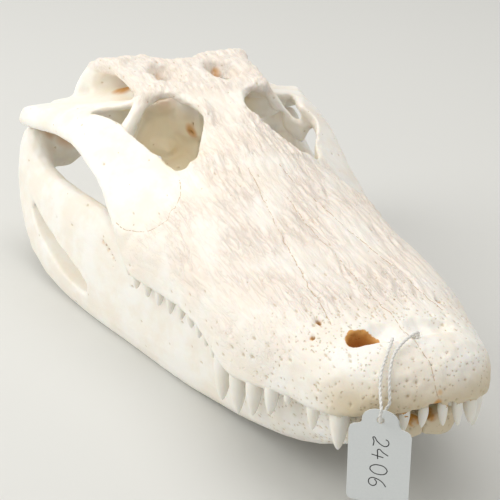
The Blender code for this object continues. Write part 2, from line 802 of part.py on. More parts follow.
def centre(bones, others):
    """Bring the middle of the bones' box over the origin."""
    corners = [v.co for bone in bones for v in bone.data.vertices]
    for axis in (0, 1):
        middle = (min(c[axis] for c in corners) + max(c[axis] for c in corners)) / 2
        for obj in bones + others:
            obj.location[axis] -= middle


def main():
    for obj in list(bpy.data.objects):
        bpy.data.objects.remove(obj)
    draw = random.Random(17)

    bones = part_cranium(cranium())
    snout = next(bone for bone in bones if bone.name == "snout")
    take_root(snout, upper_teeth(draw))

    jaw = lower_jaw()
    cut(jaw, [side_prism(upright_block(-BEYOND, 0), -BEYOND, BEYOND)])
    right = split_off(jaw, "jaw_right", right_half)
    clean(jaw)
    jaw.name = "jaw_left"
    take_root(right, lower_teeth(draw, -1))
    take_root(jaw, lower_teeth(draw, 1))
    bones += [right, jaw]

    for bone in bones:
        bone.data.shade_smooth()
        bone.data.set_sharp_from_angle(angle=math.radians(50))
        paint(bone, "bleached bone", BONE_COLOUR, 0.55)
    card = tag_card()
    paint(card, "card", CARD_COLOUR, 0.6)
    string = tag_string()
    paint(string, "cotton string", STRING_COLOUR, 0.8)
    centre(bones, [card, string])


main()
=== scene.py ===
# %% [markdown]
# # A bleached alligator skull, life size
# A museum keeps such a skull dry, white and loose on a shelf: the lower jaw lies closed under the
# cranium, and a card on a string gives its catalogue number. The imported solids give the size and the
# place of every bone. This lesson puts a skin with wrinkles, pits and sutures over them, sets the teeth
# in their sockets, and ties the card on.

import math
import random

import bpy
import numpy as np
from mathutils import Matrix, Vector, kdtree, noise


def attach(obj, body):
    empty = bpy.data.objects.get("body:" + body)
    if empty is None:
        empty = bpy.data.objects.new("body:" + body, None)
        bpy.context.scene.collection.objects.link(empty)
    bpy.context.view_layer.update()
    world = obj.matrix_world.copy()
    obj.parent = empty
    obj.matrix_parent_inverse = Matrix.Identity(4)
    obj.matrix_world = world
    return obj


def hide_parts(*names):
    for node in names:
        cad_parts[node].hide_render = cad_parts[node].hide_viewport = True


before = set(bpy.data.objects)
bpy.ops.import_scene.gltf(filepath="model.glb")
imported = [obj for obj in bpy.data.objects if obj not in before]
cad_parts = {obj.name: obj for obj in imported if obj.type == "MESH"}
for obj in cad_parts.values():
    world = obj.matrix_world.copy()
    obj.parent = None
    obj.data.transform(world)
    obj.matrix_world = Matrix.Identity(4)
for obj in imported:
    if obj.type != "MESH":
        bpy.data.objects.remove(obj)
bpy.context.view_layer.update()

# %% [markdown]
# ## Places and colours
# All sizes here are thought of in millimetres, as on the real bone: x from the middle plane, s back
# from the tip of the snout, z above the floor. One function turns such a place into the scene's metres.
# Colours are written as the hex values that a paint program shows, and one function makes them linear.

# %% Places, colours and selections
MM = 0.001
SNOUT_TIP = -235.481  # where station 0 lies along Y
MIDDLE = 0.713  # where the skull's middle plane lies along X


def place(x, s, z):
    """A point of the skull in the scene's metres."""
    return Vector(((x + MIDDLE) * MM, (s + SNOUT_TIP) * MM, z * MM))


def colour(hex_code):
    """The linear colour of an sRGB hex code."""
    parts = [int(hex_code[i:i + 2], 16) / 255 for i in (1, 3, 5)]
    return [c / 12.92 if c <= 0.04045 else ((c + 0.055) / 1.055) ** 2.4 for c in parts] + [1.0]


def pick(*pieces):
    """Select these pieces and nothing else."""
    bpy.ops.object.select_all(action="DESELECT")
    for piece in pieces:
        piece.select_set(True)
    bpy.context.view_layer.objects.active = pieces[0]


def edit(piece):
    """Go into edit mode on one piece with all of it selected."""
    pick(piece)
    bpy.ops.object.mode_set(mode="EDIT")
    bpy.ops.mesh.select_all(action="SELECT")


def leave():
    bpy.ops.object.mode_set(mode="OBJECT")


def settle(piece):
    """Put the object's place into its mesh and its modifiers into its shape."""
    pick(piece)
    bpy.ops.object.transform_apply(location=True, rotation=True, scale=True)
    for modifier in list(piece.modifiers):
        bpy.ops.object.modifier_apply(modifier=modifier.name)


print("the tip of the snout is at", place(0, 0, 86))

# %% [markdown]
# ## Camera
# The photograph looks down on the right side of the snout from close by, through a long lens that keeps
# the far end of the skull nearly as large as the near one. The camera's place was worked out from the
# landmarks of the skull, so it is written as a matrix instead of being aimed by hand.

# %% Camera
PICTURE_WIDE = 500  # pixels
FOCAL_LENGTH = 1426.5  # in the same pixels

camera_data = bpy.data.cameras.new("camera")
camera_data.sensor_width = 36.0
camera_data.lens = camera_data.sensor_width * FOCAL_LENGTH / PICTURE_WIDE
camera = bpy.data.objects.new("camera", camera_data)
bpy.context.scene.collection.objects.link(camera)
camera.matrix_world = Matrix((
    (0.92096, 0.11066, -0.37361, -0.36246),
    (-0.38518, 0.40344, -0.82998, -0.78764),
    (0.05888, 0.90829, 0.41418, 0.46292),
    (0.0, 0.0, 0.0, 1.0),
))
bpy.context.scene.camera = camera
print("lens", round(camera_data.lens, 1), "mm")

# %% [markdown]
# ## Studio
# The skull stands on a pale sweep under one broad soft light from the left, with the room itself filling
# the shadows. A large plane stands for the sweep. Area lights of more than a metre give shadows with no
# hard edge: one from the left and one from above. An even world gives the fill, and a small lamp reaches
# down into the right eye opening, which the large lights leave dark.

# %% Floor and lights
bpy.context.scene.view_settings.view_transform = "Standard"

bpy.ops.object.select_all(action="DESELECT")
bpy.ops.mesh.primitive_plane_add(size=16, location=(0, 0, 0))
floor = bpy.context.object
floor.name = "floor"
settle(floor)


def soft_light(name, width, power, start, aim, tint):
    """A round area light of this width in metres and power in watts."""
    data = bpy.data.lights.new(name, "AREA")
    data.shape = "DISK"
    data.size = width
    data.energy = power
    data.color = colour(tint)[:3]
    lamp = bpy.data.objects.new(name, data)
    bpy.context.scene.collection.objects.link(lamp)
    lamp.location = start
    lamp.rotation_euler = (Vector(aim) - Vector(start)).to_track_quat("-Z", "Y").to_euler()


soft_light("key", 1.3, 13.5, (-1.4, 0.35, 1.1), (0, 0, 0.05), "#FFFDF8")
soft_light("top", 2.0, 17, (0.1, 0.5, 2.0), (0, 0, 0), "#FFFBF6")

# A narrow lamp with a soft edge, aimed at the inside of the right eye opening
snoot_data = bpy.data.lights.new("snoot", "SPOT")
snoot_data.energy = 22
snoot_data.spot_size = math.radians(5.4)
snoot_data.spot_blend = 1.0
snoot_data.shadow_soft_size = 0.06
snoot_data.color = colour("#FFF1D8")[:3]
snoot = bpy.data.objects.new("snoot", snoot_data)
bpy.context.scene.collection.objects.link(snoot)
snoot.location = (-0.32, -0.75, 0.82)
snoot.rotation_euler = (place(-44, 322, 100) - snoot.location).to_track_quat("-Z", "Y").to_euler()

world = bpy.data.worlds.new("room")
bpy.context.scene.world = world
world.use_nodes = True
world.node_tree.nodes["Background"].inputs["Color"].default_value = colour("#F7F6F3")
world.node_tree.nodes["Background"].inputs["Strength"].default_value = 0.57

# %% [markdown]
# ## The string
# The card hangs on a thin cotton string that goes down one nostril and out of the other. It has two
# plies that wind round each other, which shows as a fine slant along it. A curve whose cross-section
# is a figure of eight, turned steadily along its length, gives those plies without modelling each one.

# %% Route of the string
STRING_WIDE = 1.9
ROUTE_GAP = 0.55  # between the points that carry the string
ROUTE = [
    (-11.5, 36.5, 94), (-11.5, 36.5, 100.5), (-12.2, 34.8, 106.6), (-14.4, 30.6, 108.4),
    (-20.4, 23.6, 105.9), (-27.4, 15.8, 100.6), (-31.6, 8.6, 94.2), (-35.57, -1.6, 88.5),
    (-35.59, -1.32, 83.6), (-34.79, -0.29, 80.3), (-33.0, 2.0, 79.0), (-30.91, 4.02, 80.3),
    (-29.03, 4.62, 83.6), (-27.72, 3.98, 87.4), (-26.6, 7.4, 92.8), (-24.4, 12.6, 99.6),
    (-19.4, 19.4, 105.2), (-11.8, 25.6, 107.9), (-4.6, 29.8, 109.3), (1.2, 32.2, 109.8),
    (3.6, 34.4, 107.2), (3.5, 36.0, 100.5), (3.5, 36.0, 94),
]


def smooth_route(route, gap):
    """Points a gap apart on a smooth curve through the route."""
    fine = []
    for i in range(len(route) - 1):
        rows = [Vector(route[min(max(k, 0), len(route) - 1)]) for k in (i - 1, i, i + 1, i + 2)]
        before, a, b, after = rows
        for k in range(24):
            t = k / 24
            fine.append(0.5 * (2 * a + (b - before) * t + (2 * before - 5 * a + 4 * b - after) * t * t
                               + (3 * a - before - 3 * b + after) * t ** 3))
    fine.append(Vector(route[-1]))
    run = np.concatenate([[0], np.cumsum([(b - a).length for a, b in zip(fine, fine[1:])])])
    aims = np.linspace(0, run[-1], int(run[-1] / gap) + 1)
    columns = [np.interp(aims, run, [p[axis] for p in fine]) for axis in range(3)]
    return [place(*row) for row in zip(*columns)], run[-1]


string_path, string_length = smooth_route(ROUTE, ROUTE_GAP)
print("string of", round(string_length, 1), "mm along", len(string_path), "points")

# %% Plies of the string
TWISTS_PER_MM = 0.17  # one full turn of the two plies in 6 mm


def ply_outline(count):
    """A figure of eight across the string: two round plies that touch."""
    rows = []
    for k in range(count):
        a = 2 * math.pi * k / count
        reach = STRING_WIDE / 2 * (0.62 + 0.38 * abs(math.cos(a)) ** 1.5)
        rows.append((reach * math.cos(a), reach * math.sin(a)))
    return rows


outline_curve = bpy.data.curves.new("ply_outline", "CURVE")
outline_curve.dimensions = "2D"
outline = outline_curve.splines.new("POLY")
rows = ply_outline(16)
outline.points.add(len(rows) - 1)
for knot, (u, v) in zip(outline.points, rows):
    knot.co = (u * MM, v * MM, 0, 1)
outline.use_cyclic_u = True
outline_object = bpy.data.objects.new("ply_outline", outline_curve)
bpy.context.scene.collection.objects.link(outline_object)

string_curve = bpy.data.curves.new("tag_thread", "CURVE")
string_curve.dimensions = "3D"
string_curve.bevel_mode = "OBJECT"
string_curve.bevel_object = outline_object
string_curve.use_fill_caps = True
spline = string_curve.splines.new("POLY")
spline.points.add(len(string_path) - 1)
for k, (knot, spot) in enumerate(zip(spline.points, string_path)):
    knot.co = (*spot, 1)
    knot.tilt = 2 * math.pi * TWISTS_PER_MM * ROUTE_GAP * k
string = bpy.data.objects.new("tag_thread", string_curve)
bpy.context.scene.collection.objects.link(string)
pick(string)
bpy.ops.object.convert(target="MESH")
bpy.data.objects.remove(outline_object)
edit(string)
bpy.ops.mesh.normals_make_consistent(inside=False)
leave()
bpy.ops.object.shade_smooth()
print("string:", len(string.data.polygons), "faces")

# %% [markdown]
# ## Skin over the solids
# The solids are faceted and parted by thin seams. A real skull is one continuous surface in which the
# bones have grown together along hairlines. So each solid is copied, swollen by a quarter of a
# millimetre so that neighbours overlap, and a voxel remesh melts the copies into one closed skin. That
# would also melt the teeth into it, so their stubs are pressed flat first: teeth are made on their own.

# %% Places of the teeth
# x, station and height at the gum line, length out of the bone, radius
UPPER_TEETH = [
    (5.8, 5.0, 78.4, 10, 2.8), (16.0, 7.0, 77.7, 12, 3.1), (27.0, 12.0, 75.7, 16, 4.0),
    (41.5, 31.0, 68.7, 22, 5.8), (50.5, 45, 65.9, 14, 3.8), (56.9, 66, 63.4, 15, 3.9),
    (61.0, 78, 60.7, 17, 4.4), (65.7, 91, 58.2, 20, 5.0), (69.1, 106, 56.1, 23, 5.6),
    (70.2, 122, 57.7, 24, 5.8), (72.8, 136, 60.1, 9, 3.2), (73.0, 148, 61.8, 8, 3.0),
    (72.9, 160, 62.6, 9, 3.3), (73.4, 173, 63.0, 10, 3.5), (74.7, 186, 62.4, 10, 3.5),
    (77.3, 199, 61.2, 10, 3.4), (80.4, 211, 61.0, 10, 3.3), (84.7, 222, 61.0, 9, 3.1),
    (88.3, 233, 61.1, 8, 2.9), (90.4, 243, 65.7, 7, 2.6),
]
LOWER_TEETH = [
    (17.5, 17, 72.7, 6, 2.2), (24.5, 26, 72.0, 6, 2.4), (30.6, 38, 68.7, 7, 2.9),
    (33.7, 52, 67.0, 6, 2.4), (37.2, 66, 64.9, 6, 2.3), (41.6, 80, 62.0, 6, 2.3),
    (45.1, 94, 59.2, 6, 2.4), (48.3, 110, 57.0, 7, 2.8), (50.5, 126, 58.7, 7, 2.8),
    (52.5, 142, 60.9, 7, 2.7), (55.5, 158, 61.0, 7, 2.6), (59.2, 174, 61.0, 7, 2.5),
    (63.0, 190, 61.0, 6, 2.4), (66.8, 206, 60.1, 6, 2.3), (70.7, 222, 59.0, 6, 2.2),
]
print("teeth on each side:", len(UPPER_TEETH), "above and", len(LOWER_TEETH), "below")

# %% Melt copies of the solids into one skin
SWELL = 0.25
GRAIN = 1.2  # size of the skin's faces


def points_of(mesh):
    """The mesh's vertices as rows of x, station and height in millimetres."""
    flat = np.zeros(len(mesh.vertices) * 3)
    mesh.vertices.foreach_get("co", flat)
    return flat.reshape(-1, 3) / MM - (MIDDLE, SNOUT_TIP, 0)


def put_points(mesh, rows):
    """Move the vertices to these rows, none of them below the floor."""
    rows[:, 2] = np.maximum(rows[:, 2], 0)
    mesh.vertices.foreach_set("co", ((rows + (MIDDLE, SNOUT_TIP, 0)) * MM).astype(np.float32).ravel())
    mesh.update()


def press_teeth(rows, teeth, sign):
    """Press stubs back to the gum line: sign is -1 for teeth that point down, and 1 for up."""
    for x, s, z, _, radius in teeth:
        near = np.hypot(np.abs(rows[:, 0]) - x, rows[:, 1] - s) < 1.4 * radius + 3
        level = z + 0.9 * sign
        past = near & ((rows[:, 2] - level) * sign > 0)
        rows[past, 2] = level
    return rows


def melted(name, nodes, teeth, sign):
    """One closed skin over copies of these solids."""
    copies = []
    for node in nodes:
        copy = bpy.data.objects.new(node + "_copy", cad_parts[node].data.copy())
        bpy.context.scene.collection.objects.link(copy)
        edit(copy)
        bpy.ops.mesh.remove_doubles(threshold=0.01 * MM)
        bpy.ops.transform.shrink_fatten(value=SWELL * MM)
        leave()
        put_points(copy.data, press_teeth(points_of(copy.data), teeth, sign))
        copies.append(copy)
    pick(*copies)
    if len(copies) > 1:
        bpy.ops.object.join()
    skin = bpy.context.object
    skin.name = name
    remesh = skin.modifiers.new("melt", "REMESH")
    remesh.mode = "VOXEL"
    remesh.voxel_size = GRAIN * MM
    bpy.ops.object.modifier_apply(modifier="melt")
    return skin


CRANIUM_NODES = ["snout", "skull_roof", "cheekbone_right", "cheekbone_left", "palate",
                 "quadrate_right", "quadrate_left", "braincase"]
cranium = melted("cranium", CRANIUM_NODES, UPPER_TEETH, -1)
jaw_right = melted("jaw_right_bone", ["jaw_right"], LOWER_TEETH, 1)
jaw_left = melted("jaw_left_bone", ["jaw_left"], LOWER_TEETH, 1)
for skin in (cranium, jaw_right, jaw_left):
    print(skin.name, len(skin.data.polygons), "faces")

# %% [markdown]
# The melted skin still shows the flat facets of the solids. Plain smoothing would shrink the thin bars
# of the cheek. Smoothing that goes forward a little and back a little more, over and over, takes out
# the facets and leaves the sizes.

# %% Smooth the facets away
SMOOTHINGS = 14


def smooth_out(skin, rounds):
    for k in range(rounds):
        for name, factor in (("forward", 0.6), ("back", -0.62)):
            step = skin.modifiers.new(name, "SMOOTH")
            step.factor = factor
            step.iterations = 1
    pick(skin)
    bpy.ops.object.convert(target="MESH")


for skin in (cranium, jaw_right, jaw_left):
    smooth_out(skin, SMOOTHINGS)
    print(skin.name, "smoothed")

# %% [markdown]
# ## Relief of the bone
# On a live alligator the skin is fused to the skull, and the bone under it is wrinkled along the
# snout, knobbly on the flat roof, and smooth on the cheekbones and the lower jaw. Noise that is
# stretched along the snout and pushed sideways by slower noise gives wrinkles that wander and fork.

# %% Wrinkles and knobs
RIM_KNOBS = 2.6  # mm by which the highest knobs of the flat roof stand up


def ramp(values, low, high):
    """0 below low, 1 above high, and smooth between them."""
    t = np.clip((values - low) / (high - low), 0, 1)
    return t * t * (3 - 2 * t)


def field(rows, sizes, seed):
    """Noise about -1 to 1 at each row, with features of these sizes across, along and up."""
    scaled = rows / np.array(sizes) + seed
    return np.array([noise.noise(p) for p in scaled.tolist()])


def normals_of(mesh):
    flat = np.zeros(len(mesh.vertices) * 3)
    mesh.vertex_normals.foreach_get("vector", flat)
    return flat.reshape(-1, 3)


def crest(values, width):
    """Sharp-edged folds: high where the noise passes through zero."""
    return 1 - np.clip(np.abs(values) / width, 0, 1)


def cranium_relief(rows, facing):
    x, s, z = rows.T
    up = facing[:, 2]
    wander = rows.copy()
    wander[:, 0] += 7 * field(rows, (30, 55, 50), 3.1) + 2.2 * field(rows, (11, 17, 20), 5.9)
    folds = crest(field(wander, (5.2, 52, 12), 7.7), 0.36)
    creases = crest(field(wander, (3.8, 30, 8), 19.3), 0.36)
    knobs = field(rows, (4.2, 6.5, 5), 31.9)
    swells = field(rows, (19, 34, 20), 43.7)
    on_top = ramp(up, 0.15, 0.7)
    on_side = ramp(up, -0.3, 0.3) * (1 - on_top)
    snout = ramp(s, 45, 90) * (1 - ramp(s, 300, 345))
    roof = ramp(s, 318, 345) * ramp(z, 138, 143)
    front = 1 - ramp(s, 40, 90)
    cheek = ramp(np.abs(x), 50, 66) * ramp(s, 225, 250)
    patchy = ramp(field(rows, (22, 40, 30), 71.3), -0.35, 0.25)
    wrinkled = snout * (on_top + 0.65 * on_side) * (1 - 0.95 * cheek) * (0.45 + 0.55 * patchy)
    # fold is where the material paints shade into the grooves of the folds
    fold = wrinkled * np.maximum(folds, 0.8 * creases)
    rise = -wrinkled * (1.3 * folds + 0.9 * creases) + 0.5 * wrinkled
    rise += roof * ramp(up, 0.1, 0.6) * (0.9 * knobs - 0.45 * creases)
    rise += roof * RIM_KNOBS * np.maximum(field(rows, (13, 15, 30), 81.7), 0)
    rise += front * ramp(up, -0.6, 0.2) * (0.45 * knobs + 0.35 * field(rows, (9, 8, 6), 23.9))
    rise += 0.4 * swells * ramp(up, -0.4, 0.2)
    grain = np.maximum(wrinkled, 0.8 * roof)
    return rise, np.maximum(fold, 0.6 * roof * creases), grain


def jaw_relief(rows, facing):
    rise = 0.4 * field(rows, (14, 36, 16), 51.3) + 0.12 * field(rows, (4, 14, 5), 61.9)
    return rise, np.zeros(len(rows)), np.zeros(len(rows))


def keep_numbers(piece, name, values):
    """Store one number for each vertex, for the material to read."""
    layer = piece.data.attributes.get(name) or piece.data.attributes.new(name, "FLOAT", "POINT")
    layer.data.foreach_set("value", np.asarray(values, dtype=np.float32))


def raise_skin(skin, relief):
    """Move each vertex along its normal by the relief, less what the copies were swollen by."""
    rows = points_of(skin.data)
    facing = normals_of(skin.data)
    rise, fold, grain = relief(rows, facing)
    put_points(skin.data, rows + facing * (rise - SWELL)[:, None])
    keep_numbers(skin, "fold", fold)
    keep_numbers(skin, "grain", grain)
    print(skin.name, "rises", round(float(rise.min()), 2), "to", round(float(rise.max()), 2), "mm")


raise_skin(cranium, cranium_relief)
raise_skin(jaw_right, jaw_relief)
raise_skin(jaw_left, jaw_relief)

# %% [markdown]
# ## Pits, holes, sutures and stains
# Nerves and vessels of the touch organs in the skin come out through hundreds of pits, close together
# around the mouth and few on the cheeks. Each is a dent a millimetre wide, drawn out along the snout,
# and sideways round its tip. They are strewn over the skin's own vertices with a least distance between
# them, pushed in, and remembered as a number on each vertex, so that the material can paint shade into
# what the shape makes hollow.

# %% Strew the pits
def crowding_of_cranium(rows, facing):
    """How close together the pits are: 1 at the mouth, near 0 where there are hardly any."""
    x, s, z = rows.T
    outside = ramp(facing[:, 2], -0.35, -0.05) * ramp(z, 60, 66)
    mouth = 1 - ramp(s, 60, 125)
    margin = (1 - ramp(s, 120, 240)) * (1 - ramp(z, 66, 90))
    cheek = ramp(s, 222, 240) * (1 - ramp(s, 380, 410)) * ramp(np.abs(x), 58, 66)
    cheek *= 1 - ramp(z, 126, 134)
    roof = ramp(s, 280, 330) * ramp(z, 138, 145)
    dish = np.hypot((np.abs(x) - 12.5) / 11, (s - 44) / 12) < 1.0
    patchy = ramp(field(rows, (17, 24, 20), 13.1), -0.5, 0.3)
    crowding = 0.03 + (0.85 * mouth + 0.45 * margin) * (0.45 + 0.55 * patchy)
    crowding += 0.05 * cheek + 0.15 * roof
    return np.clip(crowding, 0, 1) * outside * ~dish


def crowding_of_jaw(rows, facing):
    x, s, z = rows.T
    outside = ramp(facing[:, 0] * np.sign(x) - 0.6 * facing[:, 1], 0.0, 0.35)
    return np.clip(0.05 + 0.9 * (1 - ramp(s, 60, 150)), 0, 1) * outside


def strew(rows, crowding, tries, draw):
    """Vertices for the pits, no two of them too close together."""
    chosen = np.zeros((0, 3))
    centres = []
    for k in draw.sample(range(len(rows)), tries):
        if draw.random() < crowding[k]:
            gap = (2.4 + 7.5 * (1 - crowding[k]) ** 2) * draw.uniform(0.8, 1.7)
            if not len(chosen) or np.linalg.norm(chosen - rows[k], axis=1).min() > gap:
                chosen = np.vstack([chosen, rows[k]])
                centres.append(k)
    return centres


def dents(rows, holes):
    """How deep each vertex is pushed in, and how much it belongs to a hole, 0 to 1.
    Holes: x, station, height, radius, depth and length over width."""
    tree = kdtree.KDTree(len(rows))
    for k, row in enumerate(rows):
        tree.insert(row, k)
    tree.balance()
    depth = np.zeros(len(rows))
    share = np.zeros(len(rows))
    for x, s, z, radius, deep, stretch in holes:
        for spot, k, _ in tree.find_range((x, s, z), radius * max(1, stretch) * 1.5 + 0.6):
            off = math.hypot((spot[1] - s) / stretch, spot[0] - x, spot[2] - z) / (radius * 1.35)
            here = max(0.0, 1 - off * off)
            depth[k] = max(depth[k], deep * here)
            share[k] = max(share[k], here)
    return depth, share


# Holes of the nerves and vessels that are big enough to have names of their own
FORAMINA = [
    (-39.2, 70.4, 103.9, 1.5, 3.0, 2.3), (-46.5, 60.8, 99.6, 1.3, 2.0, 1.2),
    (38.2, 73.0, 104.2, 1.5, 3.0, 2.3), (-9.8, 346.2, 120.2, 1.6, 2.5, 1.0),
    (-9.2, 349.5, 112.2, 2.0, 3.0, 1.0), (9.5, 348.0, 114.0, 2.0, 3.0, 1.0),
    (23.8, 392.9, 141.0, 2.4, 4.0, 1.0), (-24.0, 392.5, 141.0, 2.4, 4.0, 1.0),
    (-93.8, 289.1, 63.4, 0.9, 1.6, 1.6), (-92.9, 285.0, 62.0, 1.0, 1.8, 1.8),
    (-91.9, 281.2, 60.5, 0.9, 1.6, 1.8), (-91.0, 276.8, 58.2, 0.8, 1.3, 1.8),
    (-90.1, 272.5, 55.8, 0.7, 1.0, 1.8),
]

for skin, crowd, tries in ((cranium, crowding_of_cranium, 14000), (jaw_right, crowding_of_jaw, 3500),
                           (jaw_left, crowding_of_jaw, 3500)):
    draw = random.Random(len(skin.name))
    rows = points_of(skin.data)
    facing = normals_of(skin.data)
    crowding = crowd(rows, facing)
    centres = strew(rows, crowding, tries, draw)
    holes = []
    for k in centres:
        size = draw.random() ** 1.6
        drawn_out = draw.uniform(0.55, 0.9) if rows[k][1] < 30 else draw.uniform(1.0, 2.6)
        holes.append((*rows[k], 0.45 + 0.6 * size, 0.35 + 0.75 * size, drawn_out))
    depth, share = dents(rows, holes)
    deep, wide = dents(rows, FORAMINA)
    put_points(skin.data, rows - facing * np.maximum(depth, deep)[:, None])
    # pit is where the material paints shade into the pits
    keep_numbers(skin, "pit", share)
    keep_numbers(skin, "crowd", crowding)
    # hole is where the material paints dark brown shade into the named holes, which go deeper than their
    # dents
    keep_numbers(skin, "hole", wide)
    print(skin.name, len(centres), "pits")

# %% [markdown]
# Sutures are the hairlines where neighbouring bones have met and grown together. Each is a row of
# places on the surface. What a vertex keeps is its distance from the line, positive on one side and
# negative on the other, and the material draws a thin brown line where that passes through zero.
# Stains are where grease stayed in the bone: inside the right nostril, at the roots of the front teeth
# and in the hollows behind the eyes. The lower front of the snout faces away from the light, and its shade
# is painted there in a warm yellow-grey.

# %% Sutures and stains
JUGAL = [(95.0, 259.5, 89.2), (90.9, 249.7, 87.9), (83.0, 237.3, 91.0), (77.3, 229.8, 96.7),
         (71.1, 227.7, 102.4), (63.9, 233.1, 108.1), (58.8, 239.0, 111.3), (55.3, 246.0, 113.5),
         (52.5, 256.0, 116.0)]
BESIDE_NASAL = [(34.7, 62.8, 104.6), (31.7, 79.3, 106.8), (31.2, 100.8, 109.0), (26.5, 128.8, 111.4),
                (22.6, 155.5, 113.8), (18.7, 184.7, 117.6), (14.0, 215.0, 122.5), (11.0, 240.0, 127.0)]
MIDLINE = [(0, 0.7, 85.8), (0, 4.8, 93.4), (0, 11.7, 99.7), (0, 21.7, 104.1), (0, 32.1, 105.8),
           (0, 45, 106.0), (0.6, 60, 107), (-0.4, 90, 109.8), (0.5, 120, 111.7), (0, 150, 114),
           (-0.6, 180, 117.6), (0, 210, 122)]
# Outline of the right nostril's window: x and station, in the order that keeps its inside on the left
NOSTRIL = [(-17, 36), (-25, 39), (-34, 40), (-33, 47), (-29, 52), (-21, 50), (-16, 44)][::-1]
# Centre, radius and strength of each stain
STAINS = [
    (-16.8, 4.5, 76, 4.5, 1.2), (-11, 4, 77, 4, 0.9), (-21.5, 8.5, 75.5, 4.5, 1.0), (0, 3, 77, 5, 1.1),
    (6.9, 2.6, 76.6, 4.5, 1.2), (11, 4, 76, 4.5, 1.1), (21.5, 8.5, 75.5, 5, 1.1), (-6.2, 12.3, 68.4, 5, 1.2),
    (4.9, 15.8, 68.8, 6, 1.1), (-34, 19, 72, 6, 0.8), (34, 19, 72, 6, 0.8), (0, 1, 84, 3.5, 0.6),
    (1.5, 2, 90, 2.5, 0.4), (-60, 72, 60, 4, 0.5), (-52, 58, 63, 4, 0.5),
    (-9, 349, 114, 8, 0.55), (9, 349, 114, 8, 0.55), (-12, 345, 104, 13, 0.3),
    (-24, 392, 139, 9, 0.7), (24, 392, 139, 9, 0.9), (-22, 372, 130, 14, 0.25), (22, 372, 130, 14, 0.25),
    (-43, 405, 129, 11, 0.6), (43, 405, 129, 11, 0.6), (-96, 430, 92, 12, 0.45), (-80, 425, 88, 13, 0.4),
    (-39.2, 70.4, 100.5, 3.2, 0.7), (-46.5, 60.8, 98.6, 2.2, 0.7), (38.2, 73, 100.8, 3.2, 0.7),
    (-92, 281, 60, 2.5, 0.3), (-93.6, 288, 63, 2.5, 0.35), (-91, 274, 57, 2, 0.3),
]


def both_sides(line):
    """The line and its mirror image."""
    return [line, [(-x, s, z) for x, s, z in line]]


def beside_line(rows, facing, lines):
    """Signed distance of each vertex from the nearest line, along the surface."""
    signed = np.full(len(rows), 9.0)
    nearest = np.full(len(rows), 9.0)
    for line in lines:
        for a, b in zip(np.array(line, float), np.array(line[1:], float)):
            run = b - a
            along = (rows - a) @ run / (run @ run)
            gap = rows - a - np.clip(along, 0, 1)[:, None] * run
            away = np.linalg.norm(gap, axis=1)
            gap -= np.einsum("ij,ij->i", gap, facing)[:, None] * facing
            flat = np.linalg.norm(gap, axis=1)
            side = np.sign(np.einsum("ij,ij->i", np.cross(run, gap), facing))
            use = (flat < nearest) & (away < 6) & (along > -0.05) & (along < 1.05)
            nearest[use] = flat[use]
            signed[use] = (flat * side)[use]
    return signed


def stained(rows, stains):
    """How deeply each vertex is stained, 0 to 1."""
    inside = np.full(len(rows), 9.0)
    for (xa, sa), (xb, sb) in zip(NOSTRIL, NOSTRIL[1:] + NOSTRIL[:1]):
        run = math.hypot(xb - xa, sb - sa)
        across = ((xb - xa) * (rows[:, 1] - sa) - (sb - sa) * (rows[:, 0] - xa)) / run
        inside = np.minimum(inside, across)
    amount = ramp(inside, -1.3, -0.7) * ramp(rows[:, 2], 82, 84)
    for x, s, z, radius, strength in stains:
        off = np.linalg.norm(rows - (x, s, z), axis=1) / radius
        amount = np.maximum(amount, np.clip(strength * (1.3 - 1.3 * off ** 2), 0, 1))
    return amount


SUTURES = both_sides(JUGAL) + both_sides(BESIDE_NASAL) + [MIDLINE]
for skin in (cranium, jaw_right, jaw_left):
    rows = points_of(skin.data)
    facing = normals_of(skin.data)
    waves = rows + 1.3 * np.stack([field(rows, (7, 7, 7), 91.3), field(rows, (7, 7, 7), 95.1),
                                   np.zeros(len(rows))], axis=1)
    signed = beside_line(waves, facing, SUTURES if skin is cranium else [])
    groove = np.clip(1 - np.abs(signed) / 1.3, 0, 1)
    put_points(skin.data, rows - facing * (0.3 * groove)[:, None])
    keep_numbers(skin, "suture", signed)
    keep_numbers(skin, "stain", stained(rows, STAINS))
    across, back, high = rows.T
    # Painted warm light: inside the skull behind the eyes the material paints a cream, for the light that
    # the thin bone lets through and bounces there
    inner = ramp(back, 255, 275) * (1 - ramp(np.abs(across), 45, 66)) * (1 - ramp(high, 120, 134))
    keep_numbers(skin, "inner", inner)
    # Painted shade: the lower front of the snout faces away from the light, and this mask is where the
    # material paints a warm yellow-grey
    keep_numbers(skin, "aged", (1 - ramp(back, 10, 50)) * (1 - 0.8 * ramp(high, 78, 102)))
    print(skin.name, "sutures and stains kept")

# %% [markdown]
# ## Three pieces of cranium
# One piece of this many faces is slow to unwrap, so the cranium is cut in three, across the bones in
# front of the eyes and again near the back of the flat roof. Each cut is a flat plane that fills both
# of its sides, and these share its rim, so no step shows.

# %% Cut the cranium in three
FRONT_CUT = 255.0
BACK_CUT = 384.0


def length_of(skin, name, front=None, back=None):
    """A copy of the skin from one station back to another, each end whole where none is given."""
    piece = bpy.data.objects.new(name, skin.data.copy())
    bpy.context.scene.collection.objects.link(piece)
    for station, keep_front in ((front, False), (back, True)):
        if station:
            edit(piece)
            bpy.ops.mesh.bisect(plane_co=place(0, station, 0), plane_no=(0, 1, 0), use_fill=True,
                                clear_inner=not keep_front, clear_outer=keep_front, threshold=0.00001)
            leave()
    return piece


snout_bone = length_of(cranium, "snout_bone", back=FRONT_CUT)
middle_bone = length_of(cranium, "middle_of_skull", front=FRONT_CUT, back=BACK_CUT)
back_bone = length_of(cranium, "back_of_skull", front=BACK_CUT)
bpy.data.objects.remove(cranium)
bones = [snout_bone, middle_bone, back_bone, jaw_right, jaw_left]
for bone in bones:
    pick(bone)
    bpy.ops.object.shade_smooth_by_angle(angle=math.radians(60))
    print(bone.name, len(bone.data.polygons), "faces")

